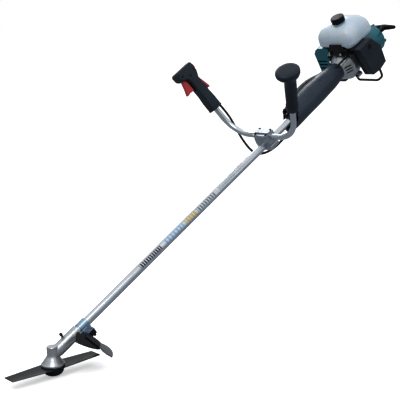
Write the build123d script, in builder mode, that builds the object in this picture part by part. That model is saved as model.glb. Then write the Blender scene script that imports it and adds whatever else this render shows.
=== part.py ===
from build123d import *
import os
from math import cos, pi, radians, sin, tan

# Petrol brush cutter with a U-shaped handlebar.  Millimetres and degrees.
# +X runs level from the blade towards the engine, +Y to the operator's right, +Z up along the arbor.
# The origin is the centre of the harness hanger's eye.

os.makedirs("parts", exist_ok=True)

# ---------------------------------------------------------------- driving dimensions
SHAFT_ANGLE = 30.0  # shaft above the level blade plane
ARBOR_TO_AXIS = 32.3  # blade plane up to the shaft axis, along the arbor
HANGER_AT = 1195.0  # stations are distances up the shaft from the arbor
HANGER_EYE_UP = 36.0
HANGER_EYE_R = 8.5
PIPE_R = 14.0
PIPE_WALL = 1.5
PIPE_FROM = 46.0
PIPE_TO = 1511.0
DRIVE_R = 4.0
FIT = 0.03  # radial clearance of a running fit
SLIP = 0.02  # radial clearance of a seated fit

BLADE_LENGTH = 305.0
BLADE_MIDDLE = 75.0
BLADE_TIP = 49.0
BLADE_THICK = 3.0
BLADE_BORE_R = 12.7
ARBOR_R = 6.0
CUP_R = 31.5

GEAR_TEETH = 19
PINION_TEETH = 14
CONE_LENGTH = 22.0  # outer cone distance of the bevel pair
GEAR_FACE = 7.0
GEAR_CONE = 35.0  # pitch cone half angles, which add up to the angle between the two axes
PINION_CONE = 90.0 - SHAFT_ANGLE - GEAR_CONE

BAR_AT = 1064.0
BAR_UP = 27.7  # handlebar tube above the pipe axis
BAR_R = 10.0
BAR_HALF_WIDTH = 240.0
BAR_RISE = 256.0
BAR_KNEE = 145.1
BAR_BEND_R = 113.0
HOLDER_TOP = 42.4  # seats of the handlebar holder screws above the pipe axis
GRIP_FOOT_UP = 140.5

CABLE_R = 4.6
# Control cable from the control grip, under the pipe, through the hip pad to the carburettor:
# points (station, right, up).
CABLE_ROUTE = [
    (1087, 189, 134),
    (1092, 183, 104),
    (1091, 171, 71),
    (1086, 161, 38),
    (1078, 148, 6),
    (1067, 125, -19),
    (1055, 97, -36),
    (1046, 66, -41),
    (1041, 36, -38),
    (1050, 8, -35),
    (1072, -10, -31),
    (1104, -16, -28),
    (1145, -17, -25),
    (1190, -18, -22),
    (1235, -24, -14),
    (1280, -28, -3),
    (1325, -27, 10),
    (1370, -20, 21),
    (1412, -14, 28),
    (1452, -19, 33),
    (1488, -32, 40),
    (1520, -46, 51),
    (1548, -58, 56),
    (1583, -64, 48),
]

HOUSING_AT = 1495.0
FAN_AT = 1548.0
CRANK_AT = 1603.0
CRANK_THROW = 16.0
ROD_LENGTH = 52.0
BORE_R = 20.0
STARTER_AT = 1642.0
STARTER_TO = 1736.0
STARTER_R = 56.0

TANK_FROM = 1525.0
TANK_TO = 1663.0
TANK_HALF_WIDTH = 78.0
TANK_LOW = 83.0
TANK_HIGH = 160.0
FILLER = (1580.0, -15.0)
CLEANER_FACE_Y = -120.0

# ---------------------------------------------------------------- frames
SHAFT = Vector(cos(radians(SHAFT_ANGLE)), 0, sin(radians(SHAFT_ANGLE)))
LIFT = Vector(-sin(radians(SHAFT_ANGLE)), 0, cos(radians(SHAFT_ANGLE)))
RIGHT = Vector(0, 1, 0)


def along(s, y=0.0, n=0.0):
    """Point at station s, y to the right of the pipe axis and n above it."""
    return SHAFT * (s - HANGER_AT) + RIGHT * y + LIFT * (n - HANGER_EYE_UP)


def station(s, y=0.0, n=0.0):
    """Plane across the shaft: local x to the right, local y up, normal up the shaft."""
    return Plane(origin=along(s, y, n), x_dir=RIGHT, z_dir=SHAFT)


def side(y, s=0.0, n=0.0):
    """Plane beside the shaft: local x up the shaft, local y up, normal to the left."""
    return Plane(origin=along(s, y, n), x_dir=SHAFT, z_dir=-RIGHT)


def right_side(y, s=0.0, n=0.0):
    """Plane beside the shaft facing right: local x down the shaft, local y up."""
    return Plane(origin=along(s, y, n), x_dir=-SHAFT, z_dir=RIGHT)


def above(n, s=0.0, y=0.0):
    """Plane over the shaft: local x up the shaft, local y to the right, normal up."""
    return Plane(origin=along(s, y, n), x_dir=SHAFT, z_dir=LIFT)


def arbor(z, turn=0.0):
    """Level plane z above the blade plane, its x axis turned about the arbor from +X."""
    apex = along(0)
    ahead = Vector(cos(radians(turn)), sin(radians(turn)), 0)
    return Plane(origin=(apex.X, 0, apex.Z - ARBOR_TO_AXIS + z), x_dir=ahead, z_dir=(0, 0, 1))


def grip_frame(hand, t=0.0):
    """Plane across a grip at t from its foot: local x inwards or outwards, local y down the shaft."""
    lean = Vector(0, hand * (BAR_HALF_WIDTH - BAR_KNEE), BAR_RISE - BAR_UP).normalized()
    foot_y = BAR_KNEE + (GRIP_FOOT_UP - BAR_UP) * (BAR_HALF_WIDTH - BAR_KNEE) / (BAR_RISE - BAR_UP)
    axis = RIGHT * lean.Y + LIFT * lean.Z
    foot = along(BAR_AT, hand * foot_y, GRIP_FOOT_UP)
    return Plane(origin=foot + axis * t, x_dir=axis.cross(SHAFT), z_dir=axis)


# ---------------------------------------------------------------- helpers for the open part
def flipped(plane):
    """The same plane facing the other way."""
    return Plane(origin=plane.origin, x_dir=plane.x_dir, z_dir=-plane.z_dir)


def disc(plane, radius, length, mode=Mode.ADD):
    """Cylinder standing on a plane."""
    with BuildSketch(plane) as face:
        Circle(radius)
    extrude(face.sketch, amount=length, mode=mode)


def tube(plane, outer, inner, length, mode=Mode.ADD):
    """Hollow cylinder standing on a plane."""
    with BuildSketch(plane) as face:
        Circle(outer)
        Circle(inner, mode=Mode.SUBTRACT)
    extrude(face.sketch, amount=length, mode=mode)


def slab(plane, width, height, length, corner=0.0, mode=Mode.ADD):
    """Block standing on a plane, centred on its origin, with rounded corners."""
    with BuildSketch(plane) as face:
        if corner > 0:
            RectangleRounded(width, height, corner)
        else:
            Rectangle(width, height)
    extrude(face.sketch, amount=length, mode=mode)


def outline(plane, points, length, mode=Mode.ADD, corner=0.0):
    """Polygon standing on a plane, its corners rounded."""
    with BuildSketch(plane) as face:
        with BuildLine():
            if corner > 0:
                FilletPolyline(*points, radius=corner, close=True)
            else:
                Polyline(*points, close=True)
        make_face()
    extrude(face.sketch, amount=length, mode=mode)


def spin(plane, points, mode=Mode.ADD, arc=360.0):
    """Turn a profile of (radius, height) points about a plane's normal."""
    half = Plane(origin=plane.origin, x_dir=plane.x_dir, z_dir=-plane.y_dir)
    with BuildSketch(half) as face:
        with BuildLine():
            Polyline(*points, close=True)
        make_face()
    revolve(face.sketch, axis=Axis(plane.origin, plane.z_dir), revolution_arc=arc, mode=mode)


def oval_loft(sections, mode=Mode.ADD):
    """Smooth body through ovals (station, right, up, half width, half height) along the shaft."""
    faces = []
    for s, y, n, half_width, half_height in sections:
        with BuildSketch(station(s, y, n)) as face:
            Ellipse(half_width, half_height)
        faces.append(face.sketch)
    loft(faces, mode=mode)


def socket_screw(plane, size, length):
    """Socket head screw: the head stands on the plane and the shank goes back through it."""
    disc(plane, size * 0.85, size)
    disc(flipped(plane), size / 2, length)
    with BuildSketch(plane.offset(size * 0.45)) as socket:
        RegularPolygon(size * 0.45, 6)
    extrude(socket.sketch, amount=size, mode=Mode.SUBTRACT)


def screw_hole(plane, size, length):
    """Clearance hole for a socket screw, from its head's seat."""
    disc(flipped(plane), size / 2 + 0.15, length + 0.5, mode=Mode.SUBTRACT)


def bevel_teeth(apex_plane, count, cone, phase):
    """Straight tapered teeth on a pitch cone whose tip is the plane's origin."""
    tilt = radians(cone)
    for index in range(count):
        turn = radians(phase + index * 360.0 / count)
        out = apex_plane.x_dir * cos(turn) + apex_plane.y_dir * sin(turn)
        around = apex_plane.y_dir * cos(turn) - apex_plane.x_dir * sin(turn)
        run = out * sin(tilt) + apex_plane.z_dir * cos(tilt)
        ends = []
        for distance in (CONE_LENGTH - 0.1, CONE_LENGTH - GEAR_FACE + 0.1):
            pitch = 2 * pi * distance * sin(tilt) / count
            with BuildSketch(Plane(apex_plane.origin + run * distance, around, run)) as end:
                with BuildLine():
                    Polyline(
                        (-pitch * 0.10, -pitch * 0.24),
                        (pitch * 0.10, -pitch * 0.24),
                        (pitch * 0.28, pitch * 0.42),
                        (-pitch * 0.28, pitch * 0.42),
                        close=True,
                    )
                make_face()
            ends.append(end.sketch)
        loft(ends, ruled=True)


def cone_blank(apex_plane, count, cone, bore, back, hub):
    """Blank under bevel teeth: root cone, flat back and bore."""
    tilt = radians(cone)
    root = []
    for distance in (CONE_LENGTH - GEAR_FACE, CONE_LENGTH):
        depth = 0.3 * 2 * pi * distance * sin(tilt) / count
        root.append((distance * sin(tilt) - depth * cos(tilt), distance * cos(tilt) + depth * sin(tilt)))
    inner, outer = root
    spin(
        apex_plane,
        [(bore, inner[1]), inner, outer, (outer[0], back), (hub[0], back), hub, (bore, hub[1])],
    )


# ---------------------------------------------------------------- screw places
def holder_screw_places():
    """Seats of the handlebar holder's four screws."""
    return [above(HOLDER_TOP, BAR_AT + a * 14.0, b * 25.4) for a in (-1, 1) for b in (-1, 1)]


def guard_screw_places():
    """Seats of the protector clamp's four screws."""
    spots = [along(130.0 + a * 9.0, b * 22.0, -37.5) for a in (-1, 1) for b in (-1, 1)]
    return [Plane(spot, SHAFT, -LIFT) for spot in spots]


def flange_screw_places():
    """Seats of the clutch housing's four screws."""
    places = []
    for turn in (45, 135, 225, 315):
        places.append((62 * cos(radians(turn)), 62 * sin(radians(turn))))
    return [Plane(along(FAN_AT - 10.0, y, n), RIGHT, -SHAFT) for y, n in places]


def bracket_screw_places():
    """Seats of the tank bracket's two front screws."""
    return [Plane(along(1518.0, y, 66.0), RIGHT, -SHAFT) for y in (-32.0, 20.0)]


def starter_screw_places():
    """Seats of the starter housing's four screws."""
    places = []
    for turn in (20, 110, 200, 290):
        places.append((50 * cos(radians(turn)), 50 * sin(radians(turn))))
    return [station(STARTER_TO, y, n) for y, n in places]


PLATE_SCREWS = [side(-23.2, s, n) for s, n in ((92.0, -8.0), (95.0, -25.0))]
HANGER_SCREW = right_side(8.1, HANGER_AT, -21.0)
GREASE_SCREW = above(30.0, 58.0)
CLAMP_SCREW = right_side(9.1, 96.0, -24.0)
LEFT_GRIP_SCREW = Plane(grip_frame(-1, 10).origin - SHAFT * 17, RIGHT, -SHAFT)

# ================================================================ cutting head
with BuildPart() as blade:
    with BuildSketch(arbor(-BLADE_THICK / 2)):
        with BuildLine():
            Polyline(
                (BLADE_LENGTH / 2, -BLADE_TIP / 2),
                (BLADE_LENGTH / 2, BLADE_TIP / 2),
                (0, BLADE_MIDDLE / 2),
                (-BLADE_LENGTH / 2, BLADE_TIP / 2),
                (-BLADE_LENGTH / 2, -BLADE_TIP / 2),
                (0, -BLADE_MIDDLE / 2),
                close=True,
            )
        make_face()
        Circle(BLADE_BORE_R, mode=Mode.SUBTRACT)
    extrude(amount=BLADE_THICK)
    long_edges = blade.edges().filter_by(lambda e: e.length > 150)
    chamfer(long_edges.sort_by(Axis.Z)[4:], length=1.2, length2=5.0)

with BuildPart() as arbor_shaft:
    disc(arbor(-21), ARBOR_R, 74.5)
    disc(arbor(53.5), 4.0, 6.5)

with BuildPart() as blade_holder:
    spin(
        arbor(0),
        [
            (ARBOR_R + SLIP, -1.4),
            (BLADE_BORE_R - SLIP, -1.4),
            (BLADE_BORE_R - SLIP, 1.5),
            (31.0, 1.5),
            (33.0, 2.5),
            (33.0, 4.6),
            (12.0, 5.2),
            (11.0, 11.5),
            (ARBOR_R + SLIP, 11.5),
        ],
    )

with BuildPart() as clamp_washer:
    tube(arbor(-5), 26.0, ARBOR_R + SLIP, 3.5)
    chamfer(clamp_washer.edges().filter_by(GeomType.CIRCLE).sort_by(SortBy.RADIUS)[-1], 0.8)

with BuildPart() as stabilizer_cup:
    spin(
        arbor(0),
        [
            (ARBOR_R + SLIP, -5),
            (CUP_R, -5),
            (CUP_R, -9),
            (CUP_R - 1.5, -15),
            (CUP_R - 5.5, -21),
            (CUP_R - 12, -25.5),
            (CUP_R - 18, -27.5),
            (CUP_R - 20, -27.5),
            (CUP_R - 20, -8),
            (ARBOR_R + SLIP, -8),
        ],
    )

with BuildPart() as arbor_nut:
    with BuildSketch(arbor(-18)):
        RegularPolygon(9.5, 6)
        Circle(ARBOR_R + SLIP, mode=Mode.SUBTRACT)
    extrude(amount=10)

with BuildPart() as gearcase:
    spin(
        arbor(0),
        [(0, 6), (35.8, 6), (35.8, 9), (33.5, 11), (18, 32), (16.6, 36), (16.6, 60), (15, 62.1), (0, 62.1)],
    )
    spin(station(4), [(0, 0), (15, 0), (19.5, 20), (19.5, 104), (0, 104)])
    slab(above(-30, 96.0, -5.5), 24, 29, 20, 3)
    disc(above(15, 58.0), 5.0, 9.0)
    spin(arbor(0), [(0, 5), (15 + SLIP, 5), (15 + SLIP, 22), (7.5, 22), (7.5, 42), (0, 42)], mode=Mode.SUBTRACT)
    disc(arbor(41.5), 14.2, 12.6, mode=Mode.SUBTRACT)
    disc(arbor(54), 9.5 + SLIP, 6.3, mode=Mode.SUBTRACT)
    spin(station(0), [(0, 9), (7.5, 9), (10.9, 16), (10.9, 24), (0, 24)], mode=Mode.SUBTRACT)
    disc(station(23.5), 11 + SLIP, 17.5, mode=Mode.SUBTRACT)
    disc(station(40.5), PIPE_R + SLIP, 80, mode=Mode.SUBTRACT)
    slab(above(-31, 96.0), 30, 2, 22, mode=Mode.SUBTRACT)
    screw_hole(GREASE_SCREW, 6, 14)
    screw_hole(CLAMP_SCREW, 6, 18)
    for place in PLATE_SCREWS:
        screw_hole(place, 5, 9.0)

with BuildPart() as bevel_gear:
    gear_apex = Plane(origin=along(0), x_dir=(1, 0, 0), z_dir=(0, 0, 1))
    cone_blank(gear_apex, GEAR_TEETH, GEAR_CONE, ARBOR_R + SLIP, 21.0, (8.5, 21.6))
    bevel_teeth(gear_apex, GEAR_TEETH, GEAR_CONE, 0.0)

with BuildPart() as bevel_pinion:
    pinion_apex = Plane(origin=along(0), x_dir=LIFT, z_dir=SHAFT)
    cone_blank(pinion_apex, PINION_TEETH, PINION_CONE, 0.0, 22.0, (5.5, 41.0))
    bevel_teeth(pinion_apex, PINION_TEETH, PINION_CONE, 180.0 / PINION_TEETH)
    disc(station(27), DRIVE_R + SLIP, 20, mode=Mode.SUBTRACT)

with BuildPart() as ball_bearings:
    tube(arbor(12), 15.0, ARBOR_R + FIT, 9.8)
    tube(arbor(54.2), 9.5, 4.0 + FIT, 5.8)
    tube(station(23.7), 11.0, 5.5 + FIT, 7.5)
    tube(station(32.0), 11.0, 5.5 + FIT, 7.5)
    tube(station(1512), 13.0, 6.0 + FIT, 7.0)
    tube(station(1578), 16.0, 8.0 + FIT, 8.0)
    tube(station(1620), 16.0, 8.0 + FIT, 8.0)

# ================================================================ protector
with BuildPart() as protector:
    spin(arbor(0, -45), [(102, 87), (141, 53), (143.4, 55.7), (104.4, 89.7)], arc=52)
    spin(arbor(0, -45), [(114, 73), (138, 51.5), (142, 54.5), (117, 76.5)], arc=3)
    slab(station(113.0, 0, -27.5), 54, 20, 34, 2)
    disc(station(60), PIPE_R + 3.4, 140, mode=Mode.SUBTRACT)
    slab(station(60, 0, 20), 70, 75, 140, mode=Mode.SUBTRACT)
    for place in guard_screw_places():
        screw_hole(place, 5, 24)

with BuildPart() as protector_lip:
    spin(
        arbor(0, -43),
        [
            (141.04, 52.97),
            (150, 40),
            (163, 29),
            (176, 21),
            (178, 21),
            (179, 24),
            (165.5, 32.5),
            (153.4, 44.2),
            (143.44, 55.67),
        ],
        arc=47,
    )

with BuildPart() as protector_clamp:
    with BuildSketch(station(114)) as band:
        Circle(17.0)
        with Locations((0, -8.6)):
            Rectangle(34.0, 17.2)
        with Locations((0, -15.7)):
            Rectangle(54.0, 3.0)
        Circle(PIPE_R + SLIP, mode=Mode.SUBTRACT)
        with Locations((0, -9)):
            Rectangle(2 * PIPE_R + 2 * SLIP, 18.2, mode=Mode.SUBTRACT)
    extrude(amount=32)
    outline(side(-20.2), [(84, -31), (84, -3), (98, 1), (130, 1), (130, -13.4), (110, -13.4), (106, -31)], 3.0)
    slab(side(-16.0, 122, -4), 14, 8, 5.0)
    for place in guard_screw_places():
        screw_hole(place, 5, 24)
    for place in PLATE_SCREWS:
        screw_hole(place, 5, 9.0)

# ================================================================ shaft
with BuildPart() as main_pipe:
    tube(station(PIPE_FROM), PIPE_R, PIPE_R - PIPE_WALL, PIPE_TO - PIPE_FROM)

with BuildPart() as drive_shaft:
    disc(station(28), DRIVE_R, 1494)

with BuildPart() as shaft_bushes:
    for s in (200, 480, 760, 1040, 1320):
        tube(station(s), PIPE_R - PIPE_WALL - SLIP, DRIVE_R + FIT, 24)

# ================================================================ handlebar
with BuildPart() as handlebar:
    with BuildLine(station(BAR_AT)) as bar_line:
        FilletPolyline(
            (-BAR_HALF_WIDTH, BAR_RISE),
            (-BAR_KNEE, BAR_UP),
            (BAR_KNEE, BAR_UP),
            (BAR_HALF_WIDTH, BAR_RISE),
            radius=BAR_BEND_R,
        )
    with BuildSketch(Plane(bar_line.line @ 0, z_dir=bar_line.line % 0)) as bar_ring:
        Circle(BAR_R)
        Circle(BAR_R - 1.5, mode=Mode.SUBTRACT)
    sweep(bar_ring.sketch, path=bar_line.line)

with BuildPart() as holder_base:
    slab(station(BAR_AT - 21, 0, -9.3), 66, 18, 42, 5)
    disc(station(BAR_AT - 30), PIPE_R + SLIP, 60, mode=Mode.SUBTRACT)
    for place in holder_screw_places():
        screw_hole(place, 5, 60)

with BuildPart() as holder_middle:
    slab(station(BAR_AT - 21, 0, 13.6), 66, 27, 42, 4)
    disc(station(BAR_AT - 30), PIPE_R + SLIP, 60, mode=Mode.SUBTRACT)
    disc(side(40, BAR_AT, BAR_UP), BAR_R + SLIP, 80, mode=Mode.SUBTRACT)
    for place in holder_screw_places():
        screw_hole(place, 5, 60)

with BuildPart() as holder_cap:
    slab(above(BAR_UP + 0.2, BAR_AT), 42, 66, HOLDER_TOP - BAR_UP - 0.2, 4)
    slab(above(BAR_UP + 0.2, BAR_AT), 18, 66, 19.1, 4)
    disc(side(40, BAR_AT, BAR_UP), BAR_R + SLIP, 80, mode=Mode.SUBTRACT)
    for place in holder_screw_places():
        screw_hole(place, 5, 60)


with BuildPart() as left_grip:
    left = grip_frame(-1)
    spin(left, [(0, -3), (13, -3), (14.5, 0), (14.5, 20), (20.5, 27), (20, 60), (19, 100), (20, 150), (0, 150)])
    slab(left.offset(4), 16, 34, 14, 4)
    rim = []
    for t, forward, half_width, half_depth in (
        (150, 0, 20, 20),
        (166, 4, 25, 29),
        (176, 7, 31, 38),
        (181, 7, 32, 39),
    ):
        with BuildSketch(Plane(left.offset(t).location * Pos(0, forward, 0))) as ring:
            Ellipse(half_width, half_depth)
        rim.append(ring.sketch)
    loft(rim)
    with BuildSketch(Plane(left.offset(181).location * Pos(0, 7, 0))) as cap_base:
        Ellipse(30, 37)
    with BuildSketch(Plane(left.offset(189).location * Pos(0, 6, 0))) as cap_top:
        Ellipse(20, 26)
    loft([cap_base.sketch, cap_top.sketch])
    disc(left.offset(-5), BAR_R + SLIP, 131.5, mode=Mode.SUBTRACT)
    screw_hole(LEFT_GRIP_SCREW, 4, 7)


def control_profile():
    """Outline of the control grip: (forward, up the grip) in millimetres."""
    return [
        (-21, -8),
        (-21, 30),
        (-19, 60),
        (-19, 118),
        (-30, 140),
        (-31, 173),
        (-25, 179),
        (48, 177),
        (54, 170),
        (52, 150),
        (44, 142),
        (24, 135),
        (19, 122),
        (18, 60),
        (21, 30),
        (21, -8),
    ]


def grip_side(offset, t=0.0):
    """Plane in the control grip: local x forwards, local y up the grip, normal to the right."""
    frame = grip_frame(1, t)
    return Plane(origin=frame.origin + frame.x_dir * offset, x_dir=-SHAFT, z_dir=frame.x_dir)


TRIGGER_PIVOT = (34, 155)
LOCK_PIVOT = (-14.5, 121)
GRIP_SCREWS = [(45, 168), (-22, 150), (5, 140)]


def grip_screw_place(spot):
    """Seat of a control grip screw on the left shell."""
    frame = grip_side(-16.9)
    centre = frame.origin + frame.x_dir * spot[0] + frame.y_dir * spot[1]
    return Plane(centre, x_dir=frame.x_dir, z_dir=-frame.z_dir)


def control_shell(start, length, outer):
    """Half of the control grip between two planes across its width, rounded on its outer face."""
    outline(grip_side(start), control_profile(), length, corner=3.0)
    across = Axis(grip_side(0).origin, grip_side(0).z_dir)
    fillet(faces().sort_by(across)[outer].edges(), 5.0)
    disc(grip_frame(1, -10), BAR_R + SLIP, 136, mode=Mode.SUBTRACT)
    pocket = [(13, 84), (14.5, 118), (17, 126), (22, 146), (24, 163), (49, 163), (51, 120), (51, 84)]
    outline(grip_side(-6.3), pocket, 12.6, mode=Mode.SUBTRACT)
    outline(grip_side(-5.3), [(-40, 58), (-12, 58), (-12, 126), (-40, 126)], 10.6, mode=Mode.SUBTRACT)
    outline(grip_side(-4.1), [(-40, 152), (-24, 152), (-24, 172), (-40, 172)], 8.2, mode=Mode.SUBTRACT)
    for pivot, radius in ((TRIGGER_PIVOT, 3.0), (LOCK_PIVOT, 2.0)):
        with BuildSketch(grip_side(-25)) as bore:
            with Locations(pivot):
                Circle(radius + FIT)
        extrude(bore.sketch, amount=50, mode=Mode.SUBTRACT)
    for spot in GRIP_SCREWS:
        screw_hole(grip_screw_place(spot), 4, 30)
        disc(grip_screw_place(spot), 3.8, 10, mode=Mode.SUBTRACT)


with BuildPart() as control_left_shell:
    control_shell(-19, 18.95, 0)

with BuildPart() as control_right_shell:
    control_shell(0.05, 18.95, -1)

with BuildPart() as throttle_trigger:
    outline(
        grip_side(-6.0),
        [(28, 160), (40, 160), (42, 140), (50, 115), (59, 93), (57, 89), (45, 92), (26, 91), (26, 118), (28, 146)],
        12.0,
        corner=2.0,
    )
    with BuildSketch(grip_side(-18.5)) as trunnion:
        with Locations(TRIGGER_PIVOT):
            Circle(3.0)
    extrude(trunnion.sketch, amount=37)

with BuildPart() as lock_lever:
    outline(
        grip_side(-5.0),
        [(-12.5, 124), (-18, 125), (-24, 118), (-31, 95), (-38, 70), (-37, 64), (-32, 65), (-26, 90), (-19, 112), (-12.5, 117)],
        10.0,
        corner=1.5,
    )
    with BuildSketch(grip_side(-14)) as trunnion:
        with Locations(LOCK_PIVOT):
            Circle(2.0)
    extrude(trunnion.sketch, amount=28)

with BuildPart() as stop_switch:
    grip = grip_frame(1, 158)
    slab(Plane(grip.origin + SHAFT * 31.4, grip.x_dir, SHAFT), 22, 16, 4.5, 3)
    slab(Plane(grip.origin + SHAFT * 25, grip.x_dir, SHAFT), 8, 10, 7)


def cord_radii(points):
    """Bend radius at each corner, as large as its two runs allow."""
    radii = []
    for before, corner, after in zip(points, points[1:], points[2:]):
        turn = (corner - before).get_angle(after - corner)
        run = min((corner - before).length, (after - corner).length)
        radii.append(0.45 * run / tan(radians(turn) / 2))
    return radii


with BuildPart() as control_cable:
    route = [along(*point) for point in CABLE_ROUTE]
    with BuildLine() as cable_line:
        FilletPolyline(*route, radius=cord_radii(route))
    with BuildSketch(Plane(cable_line.line @ 0, z_dir=cable_line.line % 0)) as cable_face:
        Circle(CABLE_R)
    sweep(cable_face.sketch, path=cable_line.line)
print("cable radii", [round(radius) for radius in cord_radii(route)])
cable_length = cable_line.wires()[0].length
print("cable length", round(cable_length))
print("cable volume ratio", round(control_cable.part.volume / (pi * CABLE_R**2 * cable_length), 4))

# ================================================================ harness side
with BuildPart() as hanger_clamp:
    disc(station(HANGER_AT - 8), PIPE_R + 4, 16)
    disc(side(3, HANGER_AT, HANGER_EYE_UP), HANGER_EYE_R + 5, 6)
    slab(side(3, HANGER_AT, 22), 16, 20, 6)
    slab(side(8, HANGER_AT, -20.5), 16, 13, 16, 2)
    slab(side(1, HANGER_AT, -21), 30, 18, 2, mode=Mode.SUBTRACT)
    disc(station(HANGER_AT - 20), PIPE_R + SLIP, 40, mode=Mode.SUBTRACT)
    disc(side(10, HANGER_AT, HANGER_EYE_UP), HANGER_EYE_R, 20, mode=Mode.SUBTRACT)
    screw_hole(HANGER_SCREW, 5, 16)

# Ovals of the hip pad: (station, right, up, half width, half height).
PAD_OVALS = [
    (1168, -1, -3, 37, 36),
    (1250, 2, 5, 43, 41),
    (1330, 3, 8, 46, 43),
    (1400, 2, 6, 39, 38),
    (1450, 0, 1, 28, 27),
    (1492, 0, 0, 20.5, 20.5),
]
PAD_WALL = 3.0
PAD_SEAM = 12.0
PAD_BUMP = [
    (1283, 24, 28, 5, 5),
    (1303, 26, 35, 18, 18),
    (1335, 27, 38, 22, 21),
    (1367, 26, 33, 18, 16),
    (1390, 22, 25, 5, 5),
]


def pad_hollow():
    """Open the pad's inside, its ends and the way in and out for the cable."""
    oval_loft([(s, y, n, a - PAD_WALL, b - PAD_WALL) for s, y, n, a, b in PAD_OVALS], mode=Mode.SUBTRACT)
    outline(side(70), [(1150, -60), (1158, -60), (1236, 42), (1240, 80), (1150, 80)], 140, mode=Mode.SUBTRACT)
    outline(
        side(70), [(1386, 80), (1399, 30), (1440, 18), (1500, 11), (1500, 80)], 140, mode=Mode.SUBTRACT
    )


def pad_ribs():
    """Ring at the tail and bulkhead at the front that hold the pad on the pipe."""
    with BuildSketch(station(1250)) as rib:
        with Locations((2, 5)):
            Ellipse(41, 39)
        Circle(PIPE_R + SLIP, mode=Mode.SUBTRACT)
        with Locations((-25, -11)):
            Circle(7.0, mode=Mode.SUBTRACT)
    extrude(rib.sketch, amount=4)
    tube(station(1474), 22, PIPE_R + SLIP, 8)
    outline(side(70), [(1440, 80), (1440, 18), (1500, 11), (1500, 80)], 140, mode=Mode.SUBTRACT)


with BuildPart() as hip_pad:
    oval_loft(PAD_OVALS)
    pad_hollow()
    pad_ribs()
    slab(right_side(PAD_SEAM, 1330), 400, 200, 60, mode=Mode.SUBTRACT)

with BuildPart() as pad_back:
    oval_loft(PAD_OVALS)
    oval_loft(PAD_BUMP)
    pad_hollow()
    pad_ribs()
    slab(side(PAD_SEAM + 0.1, 1330), 400, 200, 90, mode=Mode.SUBTRACT)

# ================================================================ clutch
with BuildPart() as clutch_housing:
    spin(station(HOUSING_AT), [(0, 0), (31, 0), (33, 2), (56, 39), (57, 41), (57, 53), (0, 53)])
    for place in flange_screw_places():
        disc(place, 9, -10)
    disc(station(HOUSING_AT - 1), PIPE_R + SLIP, 18, mode=Mode.SUBTRACT)
    disc(station(1511.9), 13 + SLIP, 7.3, mode=Mode.SUBTRACT)
    spin(station(HOUSING_AT), [(0, 24), (41, 24), (43, 30), (50, 42), (50, 54), (0, 54)], mode=Mode.SUBTRACT)
    for n in (13, 2, -9):
        slab(side(-30, 1514, n), 24, 5, 30, 2.4, mode=Mode.SUBTRACT)
    for place in flange_screw_places():
        screw_hole(place, 5, 18)

with BuildPart() as clutch_drum:
    disc(station(1511.8), 6.0, 9)
    disc(station(1520), 38, 3.5)
    tube(station(1520), 38, 35.2, 24)
    disc(station(1511), DRIVE_R + SLIP, 11.5, mode=Mode.SUBTRACT)

with BuildPart() as clutch_shoes:
    tube(station(1526), 34.6, 12, 15)
    slab(station(1520, 0, 0), 80, 6, 30, mode=Mode.SUBTRACT)
    for n in (-22, 22):
        disc(station(1520, 0, n), 4.0 + SLIP, 30, mode=Mode.SUBTRACT)

with BuildPart() as flywheel:
    disc(station(1552), 44, 8)
    disc(station(1546), 14, 24)
    for n in (-22, 22):
        disc(station(1526.5, 0, n), 4.0, 26)
    with BuildSketch(station(1560)) as blades:
        with PolarLocations(33.5, 14):
            Rectangle(19, 2.4)
    extrude(blades.sketch, amount=9)
    disc(station(1540), 8 + SLIP, 40, mode=Mode.SUBTRACT)

# ================================================================ engine
with BuildPart() as crankcase:
    spin(station(FAN_AT), [(0, 0), (57, 0), (57, 8), (50, 9), (50, 26), (38, 30), (38, 84), (0, 84)])
    for place in flange_screw_places():
        disc(Plane(place.origin + SHAFT * 10, RIGHT, SHAFT), 9, 12)
    disc(station(1632), STARTER_R, 9.7)
    slab(right_side(0, CRANK_AT), 58, 68, 38, 6)
    slab(side(0, CRANK_AT, 6), 44, 46, 44, 6)
    slab(above(34, 1582, -6), 44, 72, 44, 4)
    for place in bracket_screw_places():
        disc(Plane(place.origin + SHAFT * 3.6, RIGHT, SHAFT), 8, 40)
    disc(station(FAN_AT - 1), 47, 26, mode=Mode.SUBTRACT)
    disc(station(1587), 31, 32, mode=Mode.SUBTRACT)
    disc(station(1577.9), 16 + SLIP, 8.2, mode=Mode.SUBTRACT)
    disc(station(1619.9), 16 + SLIP, 8.2, mode=Mode.SUBTRACT)
    disc(station(1560), 9, 90, mode=Mode.SUBTRACT)
    disc(right_side(5, CRANK_AT), BORE_R + 1.6, 40, mode=Mode.SUBTRACT)
    disc(side(-20, CRANK_AT, 6), 8, 30, mode=Mode.SUBTRACT)
    for place in flange_screw_places():
        screw_hole(place, 5, 18)
    for place in bracket_screw_places():
        screw_hole(place, 5, 18)

with BuildPart() as crank_front:
    disc(station(1546), 8, 43)
    disc(station(1588.5), 28, 8.5)

with BuildPart() as crank_rear:
    disc(station(1609), 28, 8.5)
    disc(station(1617), 8, 37)
    disc(station(1646), 17, 5)

with BuildPart() as con_rod:
    disc(station(CRANK_AT - 5, CRANK_THROW), 11, 10)
    disc(station(CRANK_AT - 5.7, CRANK_THROW), 6, 11.4)
    slab(station(CRANK_AT - 3, CRANK_THROW + ROD_LENGTH / 2), ROD_LENGTH - 10, 9, 6)
    disc(station(CRANK_AT - 5, CRANK_THROW + ROD_LENGTH), 9, 10)
    disc(station(CRANK_AT - 9, CRANK_THROW + ROD_LENGTH), 5 + FIT, 18, mode=Mode.SUBTRACT)

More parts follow.
